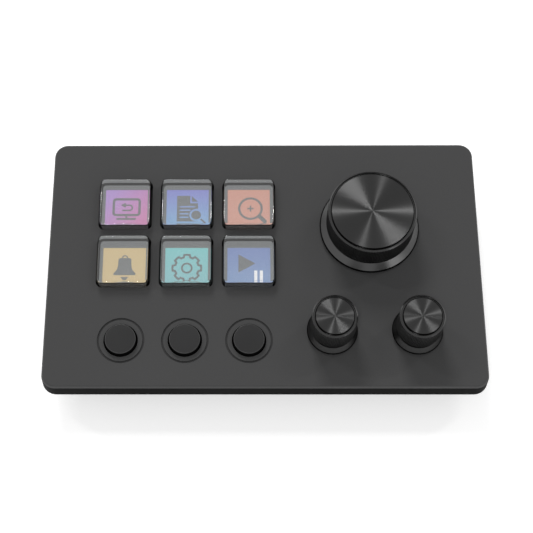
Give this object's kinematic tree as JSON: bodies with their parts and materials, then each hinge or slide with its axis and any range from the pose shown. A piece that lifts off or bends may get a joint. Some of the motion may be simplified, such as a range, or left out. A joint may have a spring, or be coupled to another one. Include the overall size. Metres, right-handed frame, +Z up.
{
  "type": "macro keypad with knobs",
  "caption": "Flat desk keypad: clear picture keys over a display, round push buttons in grooved rings and knurled push dials with spun tops, on one black deck.",
  "frame": {"origin": "on the table under the middle of the housing, at the lower face of the rubber feet", "axes": "+X to the right along the long side, towards the dials; +Y to the back, where the USB-C socket is; +Z up, out of the deck"},
  "size_m": [0.1322, 0.0808, 0.0294],
  "materials": {
    "deck_shell": "soft matte, very fine moulded grain",
    "base_shell": "matte, fine moulded grain",
    "foot_rubber": "matte",
    "black_screw": "black zinc",
    "clear_cap": "clear, polished",
    "grey_silicone": "matte",
    "display_glass": "lit display behind glass",
    "frame_plastic": "matte",
    "ribbon_film": "satin film",
    "socket_plastic": "satin",
    "circuit_board": "solder mask",
    "chip_black": "matte",
    "plated_steel": "nickel plated",
    "button_plastic": "satin",
    "switch_plastic": "matte",
    "plunger_plastic": "matte",
    "shaft_metal": "turned",
    "knob_metal": "anodised, satin",
    "sleeve_metal": "anodised, fluted",
    "disc_metal": "anodised, spun in fine rings"
  },
  "bodies": {
    "root": {"board_screws": "black_screw", "bottom_cover": "base_shell", "controller_chip": "chip_black", "cover_screws": "black_screw", "display_panel": "display_glass", "display_ribbon": "ribbon_film", "display_tray": "frame_plastic", "encoder_body_left": "switch_plastic", "encoder_body_main": "switch_plastic", "encoder_body_right": "switch_plastic", "encoder_bushing_left": "plated_steel", "encoder_bushing_main": "plated_steel", "encoder_bushing_right": "plated_steel", "encoder_nuts": "plated_steel", "encoder_washers": "plated_steel", "key_collar_1": "grey_silicone", "key_collar_2": "grey_silicone", "key_collar_3": "grey_silicone", "key_collar_4": "grey_silicone", "key_collar_5": "grey_silicone", "key_collar_6": "grey_silicone", "key_mat": "grey_silicone", "main_board": "circuit_board", "ribbon_socket": "socket_plastic", "rubber_feet": "foot_rubber", "tact_switch_1": "switch_plastic", "tact_switch_2": "switch_plastic", "tact_switch_3": "switch_plastic", "top_cover": "deck_shell", "usb_shell": "plated_steel", "usb_tongue": "socket_plastic"},
    "key_1": {"key_cap_1": "clear_cap"},
    "key_2": {"key_cap_2": "clear_cap"},
    "key_3": {"key_cap_3": "clear_cap"},
    "key_4": {"key_cap_4": "clear_cap"},
    "key_5": {"key_cap_5": "clear_cap"},
    "key_6": {"key_cap_6": "clear_cap"},
    "button_1": {"button_cap_1": "button_plastic", "tact_plunger_1": "plunger_plastic"},
    "button_2": {"button_cap_2": "button_plastic", "tact_plunger_2": "plunger_plastic"},
    "button_3": {"button_cap_3": "button_plastic", "tact_plunger_3": "plunger_plastic"},
    "main_push": {"push_plunger_main": "plunger_plastic"},
    "main_dial": {"encoder_shaft_main": "shaft_metal", "knob_core_main": "knob_metal", "knob_sleeve_main": "sleeve_metal", "knob_disc_main": "disc_metal"},
    "left_push": {"push_plunger_left": "plunger_plastic"},
    "left_dial": {"encoder_shaft_left": "shaft_metal", "knob_core_left": "knob_metal", "knob_sleeve_left": "sleeve_metal", "knob_disc_left": "disc_metal"},
    "right_push": {"push_plunger_right": "plunger_plastic"},
    "right_dial": {"encoder_shaft_right": "shaft_metal", "knob_core_right": "knob_metal", "knob_sleeve_right": "sleeve_metal", "knob_disc_right": "disc_metal"}
  },
  "joints": [
    {"name": "key_1_press", "type": "slide", "parent": "root", "child": "key_1", "axis": [0, 0, -1], "range_m": [0, 0.0008], "stiffness_N_per_m": 800, "deforming": ["key_collar_1"]},
    {"name": "key_2_press", "type": "slide", "parent": "root", "child": "key_2", "axis": [0, 0, -1], "range_m": [0, 0.0008], "stiffness_N_per_m": 800, "deforming": ["key_collar_2"]},
    {"name": "key_3_press", "type": "slide", "parent": "root", "child": "key_3", "axis": [0, 0, -1], "range_m": [0, 0.0008], "stiffness_N_per_m": 800, "deforming": ["key_collar_3"]},
    {"name": "key_4_press", "type": "slide", "parent": "root", "child": "key_4", "axis": [0, 0, -1], "range_m": [0, 0.0008], "stiffness_N_per_m": 800, "deforming": ["key_collar_4"]},
    {"name": "key_5_press", "type": "slide", "parent": "root", "child": "key_5", "axis": [0, 0, -1], "range_m": [0, 0.0008], "stiffness_N_per_m": 800, "deforming": ["key_collar_5"]},
    {"name": "key_6_press", "type": "slide", "parent": "root", "child": "key_6", "axis": [0, 0, -1], "range_m": [0, 0.0008], "stiffness_N_per_m": 800, "deforming": ["key_collar_6"]},
    {"name": "button_1_press", "type": "slide", "parent": "root", "child": "button_1", "axis": [0, 0, -1], "range_m": [0, 0.0005], "stiffness_N_per_m": 2400},
    {"name": "button_2_press", "type": "slide", "parent": "root", "child": "button_2", "axis": [0, 0, -1], "range_m": [0, 0.0005], "stiffness_N_per_m": 2400},
    {"name": "button_3_press", "type": "slide", "parent": "root", "child": "button_3", "axis": [0, 0, -1], "range_m": [0, 0.0005], "stiffness_N_per_m": 2400},
    {"name": "main_dial_push", "type": "slide", "parent": "root", "child": "main_push", "axis": [0, 0, -1], "range_m": [0, 0.0005], "stiffness_N_per_m": 5000},
    {"name": "main_dial_turn", "type": "hinge", "parent": "main_push", "child": "main_dial", "pos_m": [0.03227, 0.011, 0], "axis": [0, 0, -1], "continuous": true},
    {"name": "left_dial_push", "type": "slide", "parent": "root", "child": "left_push", "axis": [0, 0, -1], "range_m": [0, 0.0005], "stiffness_N_per_m": 5000},
    {"name": "left_dial_turn", "type": "hinge", "parent": "left_push", "child": "left_dial", "pos_m": [0.02007, -0.0226, 0], "axis": [0, 0, -1], "continuous": true},
    {"name": "right_dial_push", "type": "slide", "parent": "root", "child": "right_push", "axis": [0, 0, -1], "range_m": [0, 0.0005], "stiffness_N_per_m": 5000},
    {"name": "right_dial_turn", "type": "hinge", "parent": "right_push", "child": "right_dial", "pos_m": [0.04528, -0.0226, 0], "axis": [0, 0, -1], "continuous": true}
  ]
}
